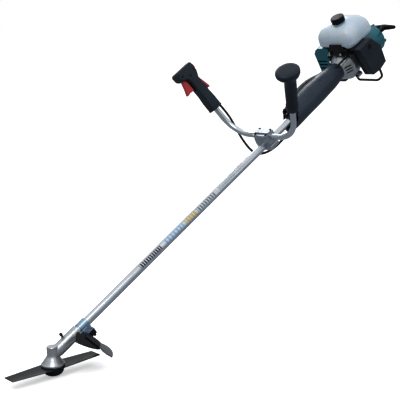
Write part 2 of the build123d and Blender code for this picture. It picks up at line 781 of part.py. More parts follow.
PISTON_PIN_Y = CRANK_THROW + ROD_LENGTH
with BuildPart() as piston:
    disc(right_side(PISTON_PIN_Y - 14, CRANK_AT), BORE_R - FIT, 28)
    disc(right_side(PISTON_PIN_Y - 15, CRANK_AT), BORE_R - 4, 26, mode=Mode.SUBTRACT)
    disc(station(CRANK_AT - 18, PISTON_PIN_Y), 5, 36)

with BuildPart() as cylinder:
    fins = [(BORE_R, -12), (21.5, -12), (21.5, 0), (24.5, 0), (24.5, 4), (24, 4)]
    for index in range(6):
        foot = 20.4 + index * 6
        fins += [(24, foot), (36, foot), (36, foot + 2.2), (24, foot + 2.2)]
    fins += [(24, 58), (5 + SLIP, 58), (5 + SLIP, 49), (17, 46), (BORE_R, 44)]
    spin(right_side(38.1, CRANK_AT), fins)
    disc(above(-37, CRANK_AT, 70), 10, 15)
    disc(above(-50, CRANK_AT, 70), 7, 30, mode=Mode.SUBTRACT)

with BuildPart() as spark_plug:
    disc(right_side(88, CRANK_AT), 5.0, 9)
    with BuildSketch(right_side(96.3, CRANK_AT)) as hexagon:
        RegularPolygon(8.5, 6)
    extrude(hexagon.sketch, amount=9)
    disc(right_side(105, CRANK_AT), 6, 5)
    slab(right_side(108, CRANK_AT), 18, 18, 16, 5)

with BuildPart() as cylinder_cover:
    cover_profile = [(38.7, -50), (104, -50), (112, -38), (112, 58), (100, 74), (84, 81), (38.7, 81)]
    outline(station(1527), cover_profile, 113, corner=6)
    cover_inside = [(30, -47.5), (103, -47.5), (109.5, -37), (109.5, 57), (98.5, 72), (83, 78.5), (30, 78.5)]
    outline(station(1529.5), cover_inside, 120, mode=Mode.SUBTRACT)
    disc(station(1520), 58.5, 45, mode=Mode.SUBTRACT)
    disc(station(1560), 51.5, 19, mode=Mode.SUBTRACT)
    for place in flange_screw_places():
        disc(Plane(place.origin - SHAFT * 20, RIGHT, SHAFT), 10.2, 45, mode=Mode.SUBTRACT)
    for n in (25, 10, -5):
        slab(station(1520, 86, n), 44, 6.5, 20, 3, mode=Mode.SUBTRACT)
    for n in (-30, -15, 0, 15, 30):
        slab(right_side(100, 1603, n), 60, 7, 20, 3, mode=Mode.SUBTRACT)
    slab(right_side(100, CRANK_AT), 26, 26, 20, 5, mode=Mode.SUBTRACT)
    slab(above(-60, CRANK_AT, 70), 30, 30, 20, mode=Mode.SUBTRACT)

with BuildPart() as muffler:
    slab(above(-96, CRANK_AT, 79), 70, 50, 44, 10)
    fillet(muffler.edges().group_by(Axis((0, 0, 0), LIFT))[0], 6)
    slab(above(-53, CRANK_AT, 70), 26, 26, 15.7, 3)
    disc(right_side(98, 1622, -80), 7, 14)
    disc(above(-60, CRANK_AT, 70), 7, 30, mode=Mode.SUBTRACT)
    disc(right_side(90, 1622, -80), 5, 30, mode=Mode.SUBTRACT)

# ================================================================ recoil starter
ROPE_EXIT = (-40.0, 22.0)

with BuildPart() as starter_housing:
    spin(station(STARTER_AT), [(0, 0), (56, 0), (56, 84), (52, 92), (46, 94), (0, 94)])
    spin(station(STARTER_AT), [(0, -1), (52.5, -1), (52.5, 82), (49, 88), (0, 88)], mode=Mode.SUBTRACT)
    disc(station(1658), 6, 74)
    for place in starter_screw_places():
        disc(place, 6.5, -90)
    with BuildSketch(station(1725)) as vents:
        with PolarLocations(27, 10):
            SlotOverall(18, 4)
    extrude(vents.sketch, amount=20, mode=Mode.SUBTRACT)
    disc(station(1720, *ROPE_EXIT), 5, 30, mode=Mode.SUBTRACT)
    for place in starter_screw_places():
        screw_hole(place, 5, 20)

with BuildPart() as starter_reel:
    spin(station(1662), [(6 + FIT, 0), (36, 0), (36, 3), (27, 5), (27, 13), (36, 15), (36, 18), (6 + FIT, 18)])

with BuildPart() as starter_handle:
    spin(
        Plane(origin=along(1764, ROPE_EXIT[0] + 50, ROPE_EXIT[1]), x_dir=SHAFT, z_dir=-RIGHT),
        [(0, 0), (5, 0), (7, 4), (9, 25), (11, 50), (9, 75), (7, 96), (5, 100), (0, 100)],
    )
    spin(station(1737, *ROPE_EXIT), [(0, 0), (6, 0), (8, 3), (10, 24), (0, 24)])
    disc(station(1655, *ROPE_EXIT), 2.0, 90)

# ================================================================ carburettor and air cleaner
CARB_LEVER = (1593.0, -62.0)
PRIMER = (1606.0, -62.0)

with BuildPart() as carburettor:
    slab(side(-44.3, CRANK_AT - 1, 8), 40, 42, 34, 5)
    slab(above(-19, PRIMER[0], PRIMER[1]), 26, 26, 8, 4)
    slab(side(-56, 1584.5, 42), 3.6, 30, 16)
    disc(side(-40, CRANK_AT, 6), 8, 50, mode=Mode.SUBTRACT)
    disc(above(20, *CARB_LEVER), 3 + FIT, 20, mode=Mode.SUBTRACT)
    disc(above(-25, *PRIMER), 8.2, 12, mode=Mode.SUBTRACT)

with BuildPart() as carb_throttle:
    disc(above(21, *CARB_LEVER), 3, 9.5)
    outline(
        above(30.2, *CARB_LEVER), [(-4, -4), (4, -4), (5, 10), (3, 15), (-3, 15), (-5, 10)], 2.5, corner=1.5
    )

with BuildPart() as primer_bulb:
    spin(above(-27.5, *PRIMER), [(0, 0), (4, 0.6), (6.5, 3), (7.6, 7), (7.6, 10.5), (0, 10.5)])

# Outline of the air cleaner seen from its face: (station, up).
CLEANER = [(1520, 80), (1595, 83), (1630, 32), (1627, -37), (1585, -46), (1543, -41)]
CLEANER_INSIDE = [(1527, 76), (1592, 79), (1626, 30), (1623, -33), (1585, -42), (1546, -37)]
COVER_KNOB = (1573.0, 60.0)
CHOKE = (-87.0, 6.0)

with BuildPart() as air_cleaner_case:
    outline(side(-78.7), CLEANER, 16.3, corner=3)
    outline(side(-81.7), CLEANER_INSIDE, 20, mode=Mode.SUBTRACT, corner=2)
    disc(side(-70, CRANK_AT, 6), 9, 20, mode=Mode.SUBTRACT)
    disc(side(-79, *COVER_KNOB), 6, 16)
    disc(side(-75, *COVER_KNOB), 3 + FIT, 30, mode=Mode.SUBTRACT)
    disc(station(1615, *CHOKE), 3 + FIT, 30, mode=Mode.SUBTRACT)

with BuildPart() as air_filter:
    outline(side(-97.5), [(1533, 66), (1557, 67), (1561, 44), (1584, 44), (1615, 22), (1612, -26), (1552, -26)], 15)

with BuildPart() as air_cleaner_cover:
    outline(side(-95.2), CLEANER, 24.8, corner=4)
    fillet(air_cleaner_cover.faces().sort_by(Axis.Y)[0].edges(), 2.5)
    outline(side(-90), CLEANER_INSIDE, 27.4, mode=Mode.SUBTRACT, corner=2)
    disc(side(-97, *COVER_KNOB), 11, 21)
    disc(side(-115, *COVER_KNOB), 9.0, 20, mode=Mode.SUBTRACT)
    disc(side(-90, *COVER_KNOB), 3 + FIT, 40, mode=Mode.SUBTRACT)

with BuildPart() as cover_knob:
    disc(side(-80, *COVER_KNOB), 3, 36)
    disc(side(-115.2, *COVER_KNOB), 7.5, 4.4)
    slab(side(-118.4, *COVER_KNOB), 16, 2.4, 5, mode=Mode.SUBTRACT)

with BuildPart() as choke_lever:
    disc(station(1621, *CHOKE), 3, 12)
    outline(station(1631.5, *CHOKE), [(4, -4), (4, 4), (-10, 7), (-20, 12), (-22, 7), (-12, 1)], 4, corner=1.5)

# ================================================================ fuel tank
def tank_block(block, grow):
    """Rounded tank body, grown or shrunk on every side."""
    width = 2 * (TANK_HALF_WIDTH + grow)
    height = TANK_HIGH - TANK_LOW + 2 * grow
    middle = (TANK_HIGH + TANK_LOW) / 2
    slab(station(TANK_FROM - grow, 0, middle), width, height, TANK_TO - TANK_FROM + 2 * grow)
    fillet(block.edges(), 28 + grow)


with BuildPart() as tank_core:
    tank_block(tank_core, -2.2)

with BuildPart() as fuel_tank:
    tank_block(fuel_tank, 0)
    disc(above(150, *FILLER), 22, 15)
    add(tank_core.part, mode=Mode.SUBTRACT)
    disc(above(145, *FILLER), 18.5, 30, mode=Mode.SUBTRACT)

with BuildPart() as fuel_cap:
    disc(above(162, *FILLER), 25, 21)
    fillet(fuel_cap.edges().group_by(Axis((0, 0, 0), LIFT))[-1], 3)
    with BuildSketch(above(161, *FILLER)) as grooves:
        with PolarLocations(26, 16):
            Circle(2.2)
    extrude(grooves.sketch, amount=18, mode=Mode.SUBTRACT)
    disc(above(160, *FILLER), 22.4, 18, mode=Mode.SUBTRACT)

with BuildPart() as tank_bracket:
    slab(above(78.2, 1586, -4), 134, 76, 4, 6)
    outline(
        station(1518),
        [(28, 55), (28, 62), (12, 102), (-40, 102), (-50, 80), (-62, 76), (-59, 62), (-50, 58.5)],
        3.5,
    )
    for place in bracket_screw_places():
        screw_hole(place, 5, 18)

with BuildPart() as stand_frame:
    stand_route = [
        (1626, 28, -46),
        (1626, 45, -69),
        (1626, 47, -123),
        (1626, -48, -123),
        (1653, -50, -123),
        (1653, -50, -75),
        (1653, -36, -52),
    ]
    with BuildLine() as stand_line:
        FilletPolyline(*[along(*point) for point in stand_route], radius=9)
    with BuildSketch(Plane(stand_line.line @ 0, z_dir=stand_line.line % 0)) as rod:
        Circle(4.5)
    sweep(rod.sketch, path=stand_line.line)
    disc(station(1628.8, 28, -45), 9, 3)
    disc(station(1650), STARTER_R + 0.1, 12, mode=Mode.SUBTRACT)

# ================================================================ screws
SCREWS = [(place, 5, 60) for place in holder_screw_places()]
SCREWS += [(place, 5, 23.3) for place in guard_screw_places()]
SCREWS += [(place, 5, 18) for place in flange_screw_places() + bracket_screw_places()]
SCREWS += [(place, 5, 20) for place in starter_screw_places()]
SCREWS += [(place, 5, 9) for place in PLATE_SCREWS]
SCREWS += [(HANGER_SCREW, 5, 16), (GREASE_SCREW, 6, 14), (CLAMP_SCREW, 6, 18), (LEFT_GRIP_SCREW, 4, 7)]
SCREWS += [(grip_screw_place(spot), 4, 30) for spot in GRIP_SCREWS]

with BuildPart() as socket_screws:
    for place, size, length in SCREWS:
        socket_screw(place, size, length)

# ================================================================ export
NODES = {
    name: value
    for name, value in list(globals().items())
    if isinstance(value, BuildPart) and name != "tank_core"
}
for name, piece in NODES.items():
    piece.part.label = name
    export_step(piece.part, f"parts/{name}.step")
print(len(NODES), "nodes written")
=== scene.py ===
from math import cos, pi, radians, sin

import bmesh
import bpy
from mathutils import Matrix, Vector


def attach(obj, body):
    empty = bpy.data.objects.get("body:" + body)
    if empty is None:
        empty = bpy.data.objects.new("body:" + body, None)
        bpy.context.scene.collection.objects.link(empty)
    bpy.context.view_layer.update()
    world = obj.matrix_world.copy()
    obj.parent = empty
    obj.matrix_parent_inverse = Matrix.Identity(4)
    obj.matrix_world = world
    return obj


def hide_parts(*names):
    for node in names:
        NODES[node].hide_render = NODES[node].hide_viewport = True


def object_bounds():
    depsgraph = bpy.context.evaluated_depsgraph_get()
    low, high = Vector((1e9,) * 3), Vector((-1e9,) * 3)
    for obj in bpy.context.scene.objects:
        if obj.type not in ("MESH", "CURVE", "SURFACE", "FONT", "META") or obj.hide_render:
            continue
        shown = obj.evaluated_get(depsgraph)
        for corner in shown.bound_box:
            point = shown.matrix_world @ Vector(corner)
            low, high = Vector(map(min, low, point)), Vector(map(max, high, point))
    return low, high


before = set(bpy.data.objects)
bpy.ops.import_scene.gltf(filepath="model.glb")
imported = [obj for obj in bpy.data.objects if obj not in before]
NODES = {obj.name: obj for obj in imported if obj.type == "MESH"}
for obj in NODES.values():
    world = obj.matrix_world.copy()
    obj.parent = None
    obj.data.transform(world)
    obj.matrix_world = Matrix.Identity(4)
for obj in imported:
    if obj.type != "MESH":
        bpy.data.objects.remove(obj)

CAD_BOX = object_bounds()

# ---------------------------------------------------------------- the shaft's own frame
MM = 0.001
SHAFT_ANGLE = radians(30)
HANGER_AT = 1195.0
HANGER_EYE_UP = 36.0
SHAFT = Vector((cos(SHAFT_ANGLE), 0, sin(SHAFT_ANGLE)))
RIGHT = Vector((0, 1, 0))
LIFT = Vector((-sin(SHAFT_ANGLE), 0, cos(SHAFT_ANGLE)))
ARBOR_TO_AXIS = 32.3


def along(s, y=0.0, n=0.0):
    """Point at station s up the shaft, y to the right of the pipe's axis and n above it, from millimetres."""
    return (SHAFT * (s - HANGER_AT) + RIGHT * y + LIFT * (n - HANGER_EYE_UP)) * MM


# ---------------------------------------------------------------- camera
CAMERA_AT = (-2.44769, -2.37627, 0.35230)
CAMERA_AZIMUTH, CAMERA_ELEVATION, CAMERA_ROLL = -40.549, 10.933, -2.4
CAMERA_LENS = 86.877
SENSOR_WIDTH = 36.0


def make_camera():
    """Long lens on the machine's left, low and well forward of the engine."""
    azimuth, elevation, roll = radians(CAMERA_AZIMUTH), radians(CAMERA_ELEVATION), radians(CAMERA_ROLL)
    back = Vector((sin(azimuth) * cos(elevation), -cos(azimuth) * cos(elevation), sin(elevation)))
    level = Vector((cos(azimuth), sin(azimuth), 0))
    upright = back.cross(level)
    right = level * cos(roll) + upright * sin(roll)
    up = upright * cos(roll) - level * sin(roll)
    data = bpy.data.cameras.new("camera")
    data.sensor_width = SENSOR_WIDTH
    data.lens = CAMERA_LENS
    camera = bpy.data.objects.new("camera", data)
    bpy.context.scene.collection.objects.link(camera)
    camera.matrix_world = Matrix.Translation(CAMERA_AT) @ Matrix((right, up, back)).transposed().to_4x4()
    bpy.context.scene.camera = camera
    return camera


make_camera()


# ---------------------------------------------------------------- materials
class Nodes:
    """Small helper that adds and joins shader nodes of one material."""

    def __init__(self, name):
        self.material = bpy.data.materials.new(name)
        self.material.use_nodes = True
        self.tree = self.material.node_tree
        self.shader = self.tree.nodes["Principled BSDF"]
        self.position = self.add("ShaderNodeTexCoord").outputs["Object"]

    def add(self, kind, links=None, **values):
        node = self.tree.nodes.new(kind)
        for key, value in values.items():
            if key in node.inputs:
                node.inputs[key].default_value = value
            else:
                setattr(node, key, value)
        for key, source in (links or {}).items():
            self.tree.links.new(source, node.inputs[key])
        return node

    def set(self, **values):
        for key, value in values.items():
            self.shader.inputs[key.replace("_", " ")].default_value = value

    def into(self, socket, source):
        self.tree.links.new(source, self.shader.inputs[socket])

    def mapped(self, scale=(1, 1, 1), turn=0.0):
        """Object position turned about Y, then scaled."""
        turned = self.add("ShaderNodeMapping", {"Vector": self.position}, Rotation=(0, turn, 0))
        return self.add("ShaderNodeMapping", {"Vector": turned.outputs[0]}, Scale=scale).outputs[0]

    def noise(self, scale, detail=3.0, source=None, roughness=0.55):
        node = self.add("ShaderNodeTexNoise", {"Vector": source or self.position}, Scale=scale, Detail=detail)
        node.inputs["Roughness"].default_value = roughness
        return node.outputs["Fac"]

    def spread(self, source, low, high, bottom=0.0, top=1.0):
        """Stretch the part of a value between low and high over bottom to top."""
        node = self.add("ShaderNodeMapRange", {"Value": source})
        for key, value in zip(("From Min", "From Max", "To Min", "To Max"), (low, high, bottom, top)):
            node.inputs[key].default_value = value
        return node.outputs["Result"]

    def blend(self, factor, first, second):
        """Mix two colours by a factor."""
        node = self.add("ShaderNodeMix", data_type="RGBA")
        self.tree.links.new(factor, node.inputs[0])
        for socket, colour in ((node.inputs[6], first), (node.inputs[7], second)):
            if isinstance(colour, tuple):
                socket.default_value = (*colour, 1)
            else:
                self.tree.links.new(colour, socket)
        return node.outputs[2]

    def bump(self, height, strength, distance, edge=0.0006):
        """Relief over softly rounded edges."""
        soft = self.add("ShaderNodeBevel", samples=4, Radius=edge)
        relief = {"Height": height, "Normal": soft.outputs[0]}
        node = self.add("ShaderNodeBump", relief, Strength=strength, Distance=distance)
        self.into("Normal", node.outputs[0])


def shade(colour, factor):
    """The colour made darker or lighter."""
    return tuple(min(1.0, c * factor) for c in colour)


def plastic(name, colour, roughness=0.45, grain=900.0, depth=0.25, dust=0.35):
    """Moulded plastic: fine spark-eroded grain, slow colour drift and dull, dusty patches."""
    m = Nodes(name)
    drift = m.spread(m.noise(14, 4), 0.35, 0.65)
    base = m.blend(drift, shade(colour, 0.86), shade(colour, 1.10))
    scuffs = m.spread(m.noise(95, 6, roughness=0.7), 0.56, 0.74, 0.0, dust)
    greyed = tuple(0.9 * c + 0.012 for c in colour)
    m.into("Base Color", m.blend(scuffs, base, greyed))
    m.into("Roughness", m.spread(m.noise(60, 5), 0.3, 0.7, roughness - 0.06, roughness + 0.10))
    m.set(IOR=1.49, Specular_IOR_Level=0.32)
    m.bump(m.noise(grain, 2), depth, 0.00015)
    return m.material


def glossy_plastic(name, colour, roughness=0.22):
    """Painted or polished plastic with a clear coat and faint orange peel."""
    m = Nodes(name)
    drift = m.spread(m.noise(11, 3), 0.3, 0.7)
    base = m.blend(drift, shade(colour, 0.90), shade(colour, 1.08))
    scratches = m.spread(m.noise(240, 5, m.mapped((1, 6, 6), SHAFT_ANGLE)), 0.64, 0.76, 0.0, 0.25)
    m.into("Base Color", m.blend(scratches, base, shade(colour, 1.5)))
    m.into("Roughness", m.spread(m.noise(45, 4), 0.3, 0.7, roughness - 0.04, roughness + 0.08))
    m.set(Coat_Weight=0.35, Coat_Roughness=0.12, IOR=1.5)
    m.bump(m.noise(420, 2), 0.10, 0.00015, edge=0.0009)
    return m.material


def bare_metal(name, colour, roughness=0.28, turn=0.0, stretch=(1, 30, 30), metallic=0.9, streaks=0.12):
    """Drawn or turned metal: streaks along the grain and soft clouding."""
    m = Nodes(name)
    lines = m.noise(26, 5, m.mapped(stretch, turn), 0.65)
    clouds = m.noise(16, 3)
    base = m.blend(m.spread(lines, 0.35, 0.65), shade(colour, 1 - streaks), shade(colour, 1 + streaks))
    m.into("Base Color", m.blend(m.spread(clouds, 0.45, 0.75, 0.0, 0.35), base, shade(colour, 0.8)))
    m.into("Roughness", m.spread(lines, 0.3, 0.7, roughness - 0.07, roughness + 0.09))
    m.set(Metallic=metallic)
    m.bump(lines, 0.12, 0.0001, edge=0.0005)
    return m.material


def cast_metal(name, colour, roughness=0.42, metallic=0.75):
    """Shot-blasted aluminium casting: pebbled skin, darker in its low spots."""
    m = Nodes(name)
    pebbles = m.noise(520, 5, roughness=0.65)
    clouds = m.noise(22, 4)
    base = m.blend(m.spread(pebbles, 0.38, 0.6), shade(colour, 0.78), shade(colour, 1.10))
    m.into("Base Color", m.blend(m.spread(clouds, 0.5, 0.75, 0.0, 0.4), base, shade(colour, 0.75)))
    m.into("Roughness", m.spread(clouds, 0.3, 0.7, roughness - 0.08, roughness + 0.10))
    m.set(Metallic=metallic)
    m.bump(pebbles, 0.32, 0.0003, edge=0.0009)
    return m.material


def painted(name, colour, roughness=0.38, chip=(0.30, 0.30, 0.31)):
    """Powder-coated steel with a fine texture and a few small chips."""
    m = Nodes(name)
    drift = m.spread(m.noise(20, 4), 0.35, 0.7)
    base = m.blend(drift, shade(colour, 0.85), shade(colour, 1.25))
    chips = m.spread(m.noise(170, 6, roughness=0.75), 0.74, 0.77)
    m.into("Base Color", m.blend(chips, base, chip))
    m.into("Roughness", m.spread(m.noise(300, 3), 0.3, 0.7, roughness - 0.06, roughness + 0.12))
    m.set(Coat_Weight=0.08, Coat_Roughness=0.25, Specular_IOR_Level=0.35)
    m.bump(m.noise(700, 3), 0.15, 0.0002)
    return m.material


def rubber(name, colour, extra_grain=0.0):
    """Soft black rubber with a dull bloom and a fine grain."""
    m = Nodes(name)
    bloom = m.spread(m.noise(40, 5), 0.45, 0.75, 0.0, 0.5)
    m.into("Base Color", m.blend(bloom, colour, tuple(c * 1.5 + 0.015 for c in colour)))
    m.into("Roughness", m.spread(m.noise(130, 4), 0.3, 0.7, 0.55, 0.75))
    m.set(Specular_IOR_Level=0.35, Sheen_Weight=0.08)
    m.bump(m.noise(500 + extra_grain, 4), 0.3, 0.0002)
    return m.material


def tank_plastic(name):
    """Milky polyethylene: light passes in, and faint flow marks cross it."""
    m = Nodes(name)
    flow = m.noise(9, 4, m.mapped((1, 1.5, 0.6), SHAFT_ANGLE))
    m.into("Base Color", m.blend(m.spread(flow, 0.35, 0.65), (0.62, 0.73, 0.82), (0.74, 0.83, 0.90)))
    m.into("Roughness", m.spread(m.noise(120, 4), 0.3, 0.7, 0.26, 0.40))
    m.set(Subsurface_Weight=0.35, Subsurface_Scale=0.015, Transmission_Weight=0.05, IOR=1.5)
    m.set(Coat_Weight=0.12, Coat_Roughness=0.2)
    m.bump(m.noise(260, 3), 0.08, 0.0002, edge=0.001)
    return m.material


def foam(name):
    """Open-cell filter foam, oiled dark."""
    m = Nodes(name)
    cells = m.add("ShaderNodeTexVoronoi", {"Vector": m.position}, Scale=420.0).outputs["Distance"]
    m.into("Base Color", m.blend(m.spread(cells, 0.1, 0.6), (0.015, 0.015, 0.017), (0.12, 0.12, 0.13)))
    m.into("Roughness", m.spread(cells, 0.0, 0.7, 0.75, 0.95))
    m.bump(cells, 0.8, 0.0015)
    return m.material


TEAL = (0.003, 0.165, 0.215)
SLATE = (0.030, 0.042, 0.058)
INK = (0.005, 0.006, 0.008)
CORAL = (0.520, 0.035, 0.048)
SILVER = (0.62, 0.66, 0.71)

MATERIALS = {
    # Pale plastic for the bead that paints the highlight along the hip pad's upper edge.
    "painted_edge_highlight": plastic("pad_highlight_plastic", (0.20, 0.23, 0.26), 0.4),
    "brass": bare_metal("brass_fitting", (0.55, 0.38, 0.14), 0.3),
    "teal": glossy_plastic("teal_plastic", TEAL),
    "slate": plastic("slate_plastic", SLATE, 0.42),
    "slate_soft": plastic("slate_pad_plastic", (0.052, 0.072, 0.100), 0.30, grain=600),
    "black": plastic("black_plastic", INK, 0.45, dust=0.2),
    "coral": glossy_plastic("coral_plastic", CORAL, 0.3),
    "grey": plastic("grey_plastic", (0.17, 0.18, 0.20), 0.5),
    "tube": bare_metal("drawn_aluminium", SILVER, 0.24, SHAFT_ANGLE, (0.4, 24, 24), 0.9, 0.07),
    "bar": bare_metal("bent_aluminium", SILVER, 0.24, 0.0, (6, 2, 6), 0.9, 0.03),
    "cast": cast_metal("cast_aluminium", (0.52, 0.55, 0.57), 0.32),
    "cast_dark": cast_metal("engine_casting", (0.30, 0.32, 0.35), 0.42),
    "cast_bright": cast_metal("bright_casting", (0.46, 0.49, 0.53), 0.40),
    "steel": bare_metal("machined_steel", (0.55, 0.57, 0.60), 0.25, 0.0, (30, 30, 1)),
    "zinc": bare_metal("zinc_plate", (0.36, 0.46, 0.56), 0.26, SHAFT_ANGLE, (2, 12, 12)),
    "blade": painted("blade_coat", (0.010, 0.012, 0.015), 0.40),
    "black_steel": painted("black_steel", (0.009, 0.010, 0.013), 0.36),
    "screw": bare_metal("black_oxide", (0.05, 0.05, 0.055), 0.35, 0.0, (20, 20, 3), 0.8),
    "rubber": rubber("black_rubber", (0.018, 0.019, 0.021)),
    "conduit": rubber("conduit_black", (0.014, 0.015, 0.017), 200.0),
    "bulb": glossy_plastic("primer_silicone", (0.55, 0.22, 0.05), 0.3),
    "bronze": bare_metal("bronze", (0.55, 0.36, 0.16), 0.35),
    "foam": foam("filter_foam"),
    "tank": tank_plastic("tank_polyethylene"),
}

NODE_MATERIALS = {
    "blade": "blade",
    "steel": "arbor_shaft blade_holder clamp_washer arbor_nut bevel_gear bevel_pinion ball_bearings "
    "drive_shaft clutch_drum clutch_shoes crank_front crank_rear con_rod",
    "black_steel": "stabilizer_cup hanger_clamp muffler tank_bracket stand_frame",
    "cast": "gearcase clutch_housing",
    "cast_bright": "crankcase holder_base holder_middle holder_cap piston",
    "cast_dark": "flywheel cylinder carburettor",
    "black": "protector starter_reel starter_handle choke_lever air_cleaner_case cover_knob fuel_cap",
    "grey": "protector_lip",
    "zinc": "protector_clamp carb_throttle",
    "tube": "main_pipe",
    "bar": "handlebar",
    "slate": "left_grip control_left_shell control_right_shell air_cleaner_cover",
    "slate_soft": "hip_pad",
    "rubber": "spark_plug pad_back",
    "conduit": "control_cable",
    "coral": "throttle_trigger lock_lever stop_switch",
    "teal": "cylinder_cover starter_housing",
    "bulb": "primer_bulb",
    "foam": "air_filter",
    "bronze": "shaft_bushes",
    "tank": "fuel_tank",
    "screw": "socket_screws",
}


SHALLOW_EDGE = 32  # degrees; edges that turn less are shaded smooth
WELD_GAP = 1e-6


def smooth_group():
    """Modifier that welds split corners and shades smooth across shallow edges only."""
    tree = bpy.data.node_groups.new("smooth_by_angle", "GeometryNodeTree")
    tree.interface.new_socket("Geometry", in_out="INPUT", socket_type="NodeSocketGeometry")
    tree.interface.new_socket("Geometry", in_out="OUTPUT", socket_type="NodeSocketGeometry")
    start = tree.nodes.new("NodeGroupInput")
    end = tree.nodes.new("NodeGroupOutput")
    weld = tree.nodes.new("GeometryNodeMergeByDistance")
    weld.inputs["Distance"].default_value = WELD_GAP
    faces = tree.nodes.new("GeometryNodeSetShadeSmooth")
    edges = tree.nodes.new("GeometryNodeSetShadeSmooth")
    edges.domain = "EDGE"
    angle = tree.nodes.new("GeometryNodeInputMeshEdgeAngle")
    shallow = tree.nodes.new("FunctionNodeCompare")
    shallow.operation = "LESS_THAN"
    shallow.inputs[1].default_value = radians(SHALLOW_EDGE)
    tree.links.new(start.outputs[0], weld.inputs["Geometry"])
    tree.links.new(weld.outputs[0], faces.inputs["Geometry"])
    tree.links.new(faces.outputs[0], edges.inputs["Geometry"])
    tree.links.new(angle.outputs["Unsigned Angle"], shallow.inputs[0])
    tree.links.new(shallow.outputs[0], edges.inputs["Shade Smooth"])
    tree.links.new(edges.outputs[0], end.inputs[0])
    return tree


SMOOTH = smooth_group()


def smooth(piece):
    """Shade a piece smooth except across its sharp edges."""
    if piece.data.has_custom_normals:
        with bpy.context.temp_override(object=piece, active_object=piece, selected_objects=[piece]):
            bpy.ops.mesh.customdata_custom_splitnormals_clear()
    piece.modifiers.new("smooth", "NODES").node_group = SMOOTH


# Printed marks on the pipe: (from, to, pitch between dashes, colour), distances up the shaft in millimetres.
PIPE_MARKS = (
    (392, 492, 9.0, (0.02, 0.02, 0.025)),
    (512, 604, 14.0, (0.30, 0.50, 0.72)),
    (616, 668, 12.0, (0.62, 0.47, 0.10)),
    (676, 768, 11.0, (0.22, 0.25, 0.28)),
    (790, 872, 7.0, (0.45, 0.50, 0.55)),
)


PRINT_ABOVE_AXIS = 3.5
PRINT_LEFT_OF_AXIS = 3.0
DASH_GAP = 0.42  # share of the pitch left bare


def print_marks(material):
    """Generic dashes printed along the pipe's upper left side, over its own colour."""
    tree = material.node_tree
    shader = tree.nodes["Principled BSDF"]
    colour = shader.inputs["Base Color"].links[0].from_socket

    def joined(kind, *sources):
        node = tree.nodes.new("ShaderNodeMath")
        node.operation = kind
        for socket, source in zip(node.inputs, sources):
            if isinstance(source, float):
                socket.default_value = source
            else:
                tree.links.new(source, socket)
        return node.outputs[0]

    place = tree.nodes.new("ShaderNodeTexCoord").outputs["Object"]
    turned_place = tree.nodes.new("ShaderNodeMapping")
    turned_place.inputs["Rotation"].default_value = (0, SHAFT_ANGLE, 0)
    tree.links.new(place, turned_place.inputs["Vector"])
    parts = tree.nodes.new("ShaderNodeSeparateXYZ")
    tree.links.new(turned_place.outputs[0], parts.inputs[0])
    up_shaft, right, lift = parts.outputs
    height = joined("ADD", lift, HANGER_EYE_UP * MM)
    above = joined("GREATER_THAN", height, PRINT_ABOVE_AXIS * MM)
    over = joined("MULTIPLY", above, joined("LESS_THAN", right, -PRINT_LEFT_OF_AXIS * MM))
    for start, end, pitch, ink in PIPE_MARKS:
        inside = joined("GREATER_THAN", up_shaft, (start - HANGER_AT) * MM)
        inside = joined("MULTIPLY", inside, joined("LESS_THAN", up_shaft, (end - HANGER_AT) * MM))
        dash = joined("GREATER_THAN", joined("FRACT", joined("DIVIDE", up_shaft, pitch * MM)), DASH_GAP)
        mix = tree.nodes.new("ShaderNodeMix")
        mix.data_type = "RGBA"
        tree.links.new(joined("MULTIPLY", joined("MULTIPLY", inside, dash), over), mix.inputs[0])
        tree.links.new(colour, mix.inputs[6])
        mix.inputs[7].default_value = (*ink, 1)
        colour = mix.outputs[2]
    tree.links.new(colour, shader.inputs["Base Color"])


def dress_nodes():
    """Give every CAD node its material and its shading."""
    for key, names in NODE_MATERIALS.items():
        for name in names.split():
            piece = NODES[name]
            piece.data.materials.clear()
            piece.data.materials.append(MATERIALS[key])
            smooth(piece)
    print_marks(MATERIALS["tube"])


dress_nodes()


# ---------------------------------------------------------------- mesh helpers
def piece_from(name, points, faces, material, body="machine"):
    """New piece from points and faces, riding on a body."""
    mesh = bpy.data.meshes.new(name)
    mesh.from_pydata([tuple(point) for point in points], [], faces)
    mesh.validate()
    mesh.materials.append(MATERIALS[material])
    piece = bpy.data.objects.new(name, mesh)
    bpy.context.scene.collection.objects.link(piece)
    for polygon in mesh.polygons:
        polygon.use_smooth = True
    fix_normals(mesh)
    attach(piece, body)
    return piece


def fix_normals(mesh):
    """Point every face outwards."""
    shape = bmesh.new()
    shape.from_mesh(mesh)
    bmesh.ops.recalc_face_normals(shape, faces=shape.faces)
    shape.to_mesh(mesh)
    shape.free()


def ring_faces(rings, count, closed_ends=True, first=0):
    """Faces between neighbouring rings of count points each, and over the two ends."""
    faces = []
    for ring in range(rings - 1):
        for step in range(count):
            a = first + ring * count + step
            b = first + ring * count + (step + 1) % count
            faces.append((a, b, b + count, a + count))
    if closed_ends:
        faces.append(tuple(first + step for step in reversed(range(count))))
        faces.append(tuple(first + (rings - 1) * count + step for step in range(count)))
    return faces


def turned(name, origin, axis, profile, material, body="machine", count=48):
    """Piece turned about an axis from (radius, height) points in millimetres."""
    axis = axis.normalized()
    across = axis.orthogonal().normalized()
    other = axis.cross(across)
    points = []
    for radius, height in profile:
        for step in range(count):
            turn = 2 * pi * step / count
            out = across * cos(turn) + other * sin(turn)
            points.append(origin + (out * radius + axis * height) * MM)
    return piece_from(name, points, ring_faces(len(profile), count), material, body)


def power(value, exponent):
    """Signed power."""
    return (1 if value >= 0 else -1) * abs(value) ** exponent


